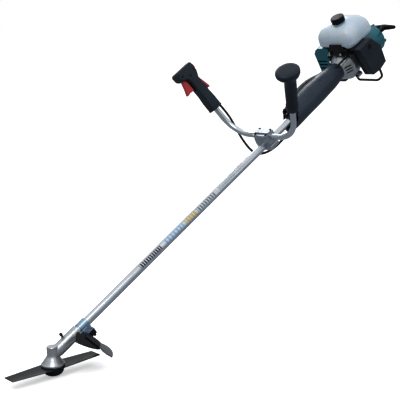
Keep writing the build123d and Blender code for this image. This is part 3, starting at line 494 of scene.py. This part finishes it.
# ---------------------------------------------------------------- control cable
# The conduit's route in the shaft's frame: points (station, right, up), as in the CAD.
CABLE_ROUTE = [
    (1087, 189, 134),
    (1092, 183, 104),
    (1091, 171, 71),
    (1086, 161, 38),
    (1078, 148, 6),
    (1067, 125, -19),
    (1055, 97, -36),
    (1046, 66, -41),
    (1041, 36, -38),
    (1050, 8, -35),
    (1072, -10, -31),
    (1104, -16, -28),
    (1145, -17, -25),
    (1190, -18, -22),
    (1235, -24, -14),
    (1280, -28, -3),
    (1325, -27, 10),
    (1370, -20, 21),
    (1412, -14, 28),
    (1452, -19, 33),
    (1488, -32, 40),
    (1520, -46, 51),
    (1548, -58, 56),
    (1583, -64, 48),
]
CONDUIT_R = 4.6
CONDUIT_PITCH = 3.2
CONDUIT_GROOVE = 0.9
RING_STEPS = 4  # points along one corrugation


def route_line(name, route):
    """Points read from the smooth NURBS curve through a route."""
    data = bpy.data.curves.new(name, "CURVE")
    data.dimensions = "3D"
    data.resolution_u = 24
    spline = data.splines.new("NURBS")
    spline.points.add(len(route) - 1)
    for point, place in zip(spline.points, route):
        point.co = (*along(*place), 1)
    spline.order_u = 3
    spline.use_endpoint_u = True
    curve = bpy.data.objects.new(name, data)
    mesh = bpy.data.meshes.new_from_object(curve)
    line = [vertex.co.copy() for vertex in mesh.vertices]
    bpy.data.objects.remove(curve)
    return line


def even_points(line, gap):
    """Points a fixed gap apart along a line, with both of its ends."""
    walked = [0.0]
    for before, after in zip(line, line[1:]):
        walked.append(walked[-1] + (after - before).length)
    count = max(2, round(walked[-1] / gap))
    points = []
    index = 0
    for step in range(count + 1):
        target = walked[-1] * step / count
        while index < len(line) - 2 and walked[index + 1] < target:
            index += 1
        share = (target - walked[index]) / max(walked[index + 1] - walked[index], 1e-9)
        points.append(line[index].lerp(line[index + 1], min(1.0, share)))
    return points


def tube_along(name, line, radii, material, count=14):
    """Tube round a line with one radius per point, in millimetres."""
    points = []
    across = (line[1] - line[0]).orthogonal().normalized()
    for index, centre in enumerate(line):
        ahead = (line[min(index + 1, len(line) - 1)] - line[max(index - 1, 0)]).normalized()
        across = (across - ahead * across.dot(ahead)).normalized()
        other = ahead.cross(across)
        for step in range(count):
            turn = 2 * pi * step / count
            points.append(centre + (across * cos(turn) + other * sin(turn)) * radii[index] * MM)
    return piece_from(name, points, ring_faces(len(line), count), material)


def make_conduit():
    """Corrugated conduit of the throttle cable, from the control grip to the carburettor."""
    smooth_line = route_line("conduit_line", CABLE_ROUTE)
    line = even_points(smooth_line, CONDUIT_PITCH * MM / RING_STEPS)
    swing = CONDUIT_GROOVE / 2
    radii = [CONDUIT_R - swing + swing * cos(2 * pi * index / RING_STEPS) for index in range(len(line))]
    conduit = tube_along("control_conduit", line, radii, "conduit")
    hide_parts("control_cable")
    return conduit


make_conduit()


# ---------------------------------------------------------------- fuel tank
TANK_MIDDLE = (1599.0, 0.0, 92.0)
TANK_HALF = (74.0, 84.0)
TANK_RISE = 66.0
TANK_SEAT = 9.0
TANK_HANG = 12.0
TANK_STEP_AT = 46.0  # how far left the tank's underside starts to drop
TANK_STEP_OVER = 10.0
PLAN_EXPONENT = 5.0


def tank_point(a, b, c, grow=1.0):
    """Point of the tank's skin in a direction: widest low down, domed on top, its left side hanging lower."""
    plan = (abs(a) ** PLAN_EXPONENT + abs(b) ** PLAN_EXPONENT) ** (1 / PLAN_EXPONENT)
    exponent = 2.7 if c > 0 else 4.0
    reach = (plan**exponent + abs(c) ** exponent) ** (-1 / exponent) * grow
    s, y, n = a * reach, b * reach, c * reach
    left = max(0.0, min(1.0, (-y * TANK_HALF[1] - TANK_STEP_AT) / TANK_STEP_OVER))
    height = TANK_RISE if n > 0 else TANK_SEAT + TANK_HANG * left * left * (3 - 2 * left)
    return along(TANK_MIDDLE[0] + s * TANK_HALF[0], y * TANK_HALF[1], TANK_MIDDLE[2] + n * height)


def make_tank():
    """Blow-moulded tank: a full block with round corners, a filler neck and a seam round its middle."""
    cells = 28
    shape = bmesh.new()
    bmesh.ops.create_cube(shape, size=2.0)
    bmesh.ops.subdivide_edges(shape, edges=shape.edges[:], cuts=cells, use_grid_fill=True)
    points = [tank_point(*vertex.co.normalized()) for vertex in shape.verts]
    faces = [tuple(vertex.index for vertex in face.verts) for face in shape.faces]
    shape.free()
    tank = piece_from("tank_body", points, faces, "tank")
    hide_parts("fuel_tank")
    neck = along(1580, -15, 150)
    profile = [(17, 0), (20, 0), (20, 12), (22, 13), (22, 15), (18.5, 15), (18.5, 2)]
    turned("tank_neck", neck, LIFT, profile, "tank")
    seam = []
    steps = 160
    for width, height in ((0.985, -0.014), (1.012, -0.014), (1.012, 0.014), (0.985, 0.014)):
        for step in range(steps):
            turn = 2 * pi * step / steps
            seam.append(tank_point(cos(turn), sin(turn), height, width))
    faces = ring_faces(4, steps, closed_ends=False)
    for step in range(steps):
        after = (step + 1) % steps
        faces.append((step, after, 3 * steps + after, 3 * steps + step))
    piece_from("tank_seam", seam, faces, "tank")
    return tank


make_tank()


# ---------------------------------------------------------------- hip pad
# Sections of the pad: (station, right, up, half width, half height).
PAD_SECTIONS = [
    (1170, -1, -3, 34, 33),
    (1210, 0, 1, 39, 38),
    (1250, 2, 5, 43, 41),
    (1290, 3, 7, 45, 42.5),
    (1330, 3, 8, 46, 43),
    (1365, 2, 8, 44, 42),
    (1400, 0, 8, 41, 40),
    (1430, -3, 8, 38, 38),
    (1460, -5, 9, 34, 35),
    (1492, -6, 10, 29, 31),
]


def pad_section(s):
    """Section of the pad at a station, eased between its neighbours."""
    s = min(max(s, PAD_SECTIONS[0][0]), PAD_SECTIONS[-1][0])
    for before, after in zip(PAD_SECTIONS, PAD_SECTIONS[1:]):
        if s <= after[0]:
            share = (s - before[0]) / (after[0] - before[0])
            return [a + (b - a) * share for a, b in zip(before, after)]
    return list(PAD_SECTIONS[-1])


PAD_SPLIT = 75  # degrees from the right, over the top, where the two halves meet
BULGE_HIGH = 9.0
BULGE_TURN, BULGE_TURN_HALF = 48, 30
BULGE_AT, BULGE_HALF = 1350, 70


def pad_point(s, turn, inset=0.0):
    """Point on the pad's skin at a station and an angle from the right, going over the top."""
    near_turn = max(0.0, 1 - ((turn - radians(BULGE_TURN)) / radians(BULGE_TURN_HALF)) ** 2)
    inset -= BULGE_HIGH * near_turn * max(0.0, 1 - ((s - BULGE_AT) / BULGE_HALF) ** 2)
    _, y, n, half_width, half_height = pad_section(s)
    squareness = 0.86
    reach_y = power(cos(turn), squareness) * (half_width - inset)
    reach_n = power(sin(turn), squareness) * (half_height - inset)
    return along(s, y + reach_y, n + reach_n)


def pad_shell(name, start, end, material, node, rows=64, columns=72):
    """Part of the pad's shell between two angles, 3 mm thick, with slanted ends."""
    wall = 3.0
    points = []
    for inset in (0.0, wall):
        for row in range(rows + 1):
            share = row / rows
            for column in range(columns + 1):
                turn = start + (end - start) * column / columns
                height = sin(turn)
                front = 1204 + 33 * height
                tail = 1492 - 14 * max(0.0, -height)
                s = front + (tail - front) * share
                dish = 3.0 * dished(s, turn)
                points.append(pad_point(s, turn, inset + dish))
    width = columns + 1
    layer = width * (rows + 1)
    faces = []
    for row in range(rows):
        for column in range(columns):
            a = row * width + column
            faces.append((a, a + 1, a + 1 + width, a + width))
            b = a + layer
            faces.append((b + width, b + 1 + width, b + 1, b))
    for row in range(rows):
        for column in (0, columns):
            a = row * width + column
            faces.append((a, a + width, a + width + layer, a + layer))
    for column in range(columns):
        for row in (0, rows):
            a = row * width + column
            faces.append((a + layer, a + 1 + layer, a + 1, a))
    shell = piece_from(name, points, faces, material)
    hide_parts(node)
    return shell


def dished(s, turn):
    """How far into the pad's upper left dent a point lies, from 0 to 1."""
    a = (s - 1385) / 26
    b = (turn - radians(128)) / radians(20)
    reach = a * a + b * b
    return max(0.0, 1 - reach) ** 1.5


pad_shell("hip_pad_shell", radians(76), radians(76 + 220), "slate_soft", "hip_pad")
pad_shell("hip_pad_back", radians(-62), radians(74), "black", "pad_back")


def make_pad_highlight_and_binding():
    """Light bead along the pad's upper seam, a painted highlight of the shell's shining edge, and black
    binding where its two halves meet.
    """
    # Painted highlight: a light bead laid along the shell's upper edge where it shines.
    line = [pad_point(1285 + 1.5 * step, radians(82), -0.9) for step in range(70)]
    tube_along("pad_highlight_bead", line, [1.3] * len(line), "painted_edge_highlight", 8)
    for name, turn in (("pad_edge_low", -63.0), ("pad_edge_high", PAD_SPLIT)):
        line = [pad_point(1240 + 3.0 * step, radians(turn), 0.4) for step in range(82)]
        tube_along(name, line, [1.0] * len(line), "black", 8)


make_pad_highlight_and_binding()


# ---------------------------------------------------------------- left grip
GRIP_FOOT = (1064.0, -192.0, 140.5)
GRIP_LEAN = (RIGHT * -94.9 + LIFT * 228.3).normalized()


def make_engine_trim():
    """Small fittings round the engine: fuel lines, carburettor nuts and the bracket's bolt heads."""
    fuel = [(1560, -30, 84), (1556, -44, 74), (1562, -56, 62), (1578, -66, 52), (1592, -70, 40)]
    back = [(1574, -34, 84), (1578, -52, 74), (1590, -62, 62), (1604, -70, 48), (1608, -72, 34)]
    for name, route in (("fuel_line_feed", fuel), ("fuel_line_return", back)):
        line = even_points(route_line(name + "_line", route), 2 * MM)
        tube_along(name, line, [2.4] * len(line), "rubber", 10)
    nut = [(0, 0), (5, 0), (5, 5), (3.4, 6.4), (0, 6.4)]
    for index, (s, y, n) in enumerate(((1584, -84, 36), (1612, -84, 36), (1598, -84, 22))):
        turned(f"carburettor_nut_{index}", along(s, y, n), -RIGHT, nut, "brass", count=6)
    for index, y in enumerate((-32.0, 20.0)):
        head = [(0, 0), (5.4, 0), (5.4, 3.0), (4.4, 4.4), (2.6, 4.4), (2.6, 2.2), (0, 2.2)]
        turned(f"bracket_bolt_{index}", along(1511.5, y, 66.0), -SHAFT, head, "steel", count=24)


make_engine_trim()


# The guard's cone: its upper edge (radius, height above the blade), and its fall per millimetre outwards.
GUARD_TOP = (102.0, 87.0)
GUARD_SLOPE = 0.875
WEB_THICK = 2.6
RIM_R = 2.4


def guard_point(turn, radius, inset):
    """Point on the guard's cone, or inset under it, at an angle and radius about the arbor."""
    height = GUARD_TOP[1] - GUARD_SLOPE * (radius - GUARD_TOP[0]) - inset
    out = Vector((cos(radians(turn)), sin(radians(turn)), 0)) * radius
    return along(0) + (out + Vector((0, 0, height - ARBOR_TO_AXIS))) * MM


# The guard's front web: (angle about the arbor, inner radius, outer radius).
WEB_SPANS = (
    (-72, 92, 101),
    (-66, 86, 111),
    (-60, 82, 121),
    (-54, 80, 130),
    (-49, 80, 137),
    (-44.5, 80, 142),
)


def make_guard_web():
    """Front web of the guard, from the clamp down to its slanted lower edge."""
    cuts = 10
    points = []
    for inset in (0.0, WEB_THICK):
        for turn, inner, outer in WEB_SPANS:
            for step in range(cuts + 1):
                points.append(guard_point(turn, inner + (outer - inner) * step / cuts, inset))
    width = cuts + 1
    rows = len(WEB_SPANS)
    layer = width * rows
    faces = []
    for row in range(rows - 1):
        for step in range(cuts):
            a = row * width + step
            faces.append((a, a + 1, a + 1 + width, a + width))
            faces.append((a + layer + width, a + layer + width + 1, a + layer + 1, a + layer))
        for a in (row * width, row * width + cuts):
            faces.append((a, a + width, a + width + layer, a + layer))
    for step in range(cuts):
        for a in (step, (rows - 1) * width + step):
            faces.append((a, a + 1, a + 1 + layer, a + layer))
    web = piece_from("guard_web", points, faces, "black")
    smooth(web)
    rim = [guard_point(turn, outer, WEB_THICK / 2) for turn, _, outer in WEB_SPANS]
    tube_along("guard_rim", rim, [RIM_R] * len(rim), "black", 10)


make_guard_web()


def make_left_grip():
    """Left grip: ribbed tube with a collar at its foot and a thick oval head leaning forward."""
    foot = along(*GRIP_FOOT)
    ahead = -SHAFT
    across = GRIP_LEAN.cross(ahead).normalized()
    # (height, forward shift, half length, half width)
    profile = [
        (10, 0, 14, 14),
        (10, 0, 20, 20),
        (13, 0, 21, 21),
        (34, 0, 21, 21),
        (38, 0, 20, 20),
        (41, 0, 19.2, 19.2),
        (90, 0, 20.2, 20.2),
        (132, 0, 19.8, 19.8),
        (142, 1, 22, 21),
        (150, 3, 30, 25),
        (158, 6, 40, 32),
        (166, 8, 45, 35),
        (174, 9, 46, 36),
        (180, 9, 45, 35),
        (183, 9, 42, 32),
        (184.5, 9, 36, 27),
        (185, 9, 24, 18),
        (185.2, 9, 8, 6),
    ]
    count = 64
    points = []
    for height, shift, half_length, half_width in profile:
        ribbed = 40 < height < 133
        for step in range(count):
            turn = 2 * pi * step / count
            groove = 0.7 * (step % 4 == 0) if ribbed else 0.0
            reach_f = shift + (half_length - groove) * cos(turn)
            reach_w = (half_width - groove) * sin(turn)
            tilt = 0.10 * reach_f * min(1.0, max(0.0, (height - 140) / 15))
            points.append(foot + (ahead * reach_f + across * reach_w + GRIP_LEAN * (height + tilt)) * MM)
    grip = piece_from("left_grip_body", points, ring_faces(len(profile), count), "slate")
    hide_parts("left_grip")


def make_control_collar():
    """Round flange at the foot of the control grip."""
    foot = along(GRIP_FOOT[0], -GRIP_FOOT[1], GRIP_FOOT[2])
    lean = (RIGHT * 94.9 + LIFT * 228.3).normalized()
    profile = [(21, -9), (25.5, -9), (27, -7.5), (27, -3.5), (25.5, -2), (21, -2)]
    turned("control_collar", foot, lean, profile, "slate")
    across = lean.cross(SHAFT)
    pin_end = foot + (-SHAFT * 34 + lean * 155 - across * 18.6) * MM
    cap = [(0, 0), (4.2, 0), (4.2, 1.4), (3, 2.2), (0, 2.2)]
    turned("trigger_pin_cap", pin_end, -across, cap, "black", count=24)


make_control_collar()


make_left_grip()


# ---------------------------------------------------------------- stage and light
FLOOR_BELOW = 0.002
FLOOR_HALF = 90.0
VIEW_GAMMA = 0.76
SKY_STRENGTH = 0.95


def make_stage():
    """Pale floor just under the machine's lowest point, darker in what it reflects than to the eye."""
    low = CAD_BOX[0].z - FLOOR_BELOW
    mesh = bpy.data.meshes.new("floor")
    size = FLOOR_HALF
    corners = [(-size, -size, low), (size, -size, low), (size, size, low), (-size, size, low)]
    mesh.from_pydata(corners, [], [(0, 1, 2, 3)])
    floor = bpy.data.objects.new("floor", mesh)
    bpy.context.scene.collection.objects.link(floor)
    m = Nodes("floor_paper")
    bright = m.blend(m.noise(3, 2), (0.90, 0.90, 0.90), (0.93, 0.93, 0.93))
    m.set(Roughness=0.9, Emission_Color=(1, 1, 1, 1))
    rays = m.add("ShaderNodeLightPath").outputs["Is Camera Ray"]
    m.into("Base Color", m.blend(rays, (0.28, 0.30, 0.33), bright))
    m.into("Emission Strength", m.spread(rays, 0.0, 1.0, 0.02, 0.50))
    mesh.materials.append(m.material)


def make_light():
    """Surroundings seen as white, which light the machine from above, with key, fill and rim lights."""
    world = bpy.data.worlds.new("studio")
    bpy.context.scene.world = world
    world.use_nodes = True
    tree = world.node_tree
    sky = tree.nodes["Background"]
    sky.inputs["Strength"].default_value = SKY_STRENGTH
    direction = tree.nodes.new("ShaderNodeTexCoord")
    parts = tree.nodes.new("ShaderNodeSeparateXYZ")
    tree.links.new(direction.outputs["Generated"], parts.inputs[0])
    ramp = tree.nodes.new("ShaderNodeValToRGB")
    tree.links.new(parts.outputs["Z"], ramp.inputs[0])
    ramp.color_ramp.elements[0].color = (0.22, 0.24, 0.27, 1)
    ramp.color_ramp.elements[1].color = (1, 1, 1, 1)
    ramp.color_ramp.elements[1].position = 0.75
    tree.links.new(ramp.outputs[0], sky.inputs["Color"])
    seen = tree.nodes.new("ShaderNodeBackground")
    seen.inputs["Color"].default_value = (1, 1, 1, 1)
    seen.inputs["Strength"].default_value = 1.0
    rays = tree.nodes.new("ShaderNodeLightPath")
    mix = tree.nodes.new("ShaderNodeMixShader")
    tree.links.new(rays.outputs["Is Camera Ray"], mix.inputs[0])
    tree.links.new(sky.outputs[0], mix.inputs[1])
    tree.links.new(seen.outputs[0], mix.inputs[2])
    tree.links.new(mix.outputs[0], tree.nodes["World Output"].inputs[0])
    lights = (
        ("key", (-2.4, -1.6, 3.0), 40, 1.6),
        ("fill", (1.8, -3.2, 1.2), 7, 2.0),
        ("rim", (1.2, 2.4, 2.2), 26, 1.4),
    )
    for name, place, energy, size in lights:
        data = bpy.data.lights.new(name, "AREA")
        data.energy = energy
        data.size = size
        light = bpy.data.objects.new(name, data)
        light.location = place
        light.rotation_euler = (-Vector(place)).to_track_quat("-Z", "Y").to_euler()
        bpy.context.scene.collection.objects.link(light)


make_stage()
make_light()
bpy.context.scene.view_settings.view_transform = "Standard"
bpy.context.scene.view_settings.gamma = VIEW_GAMMA
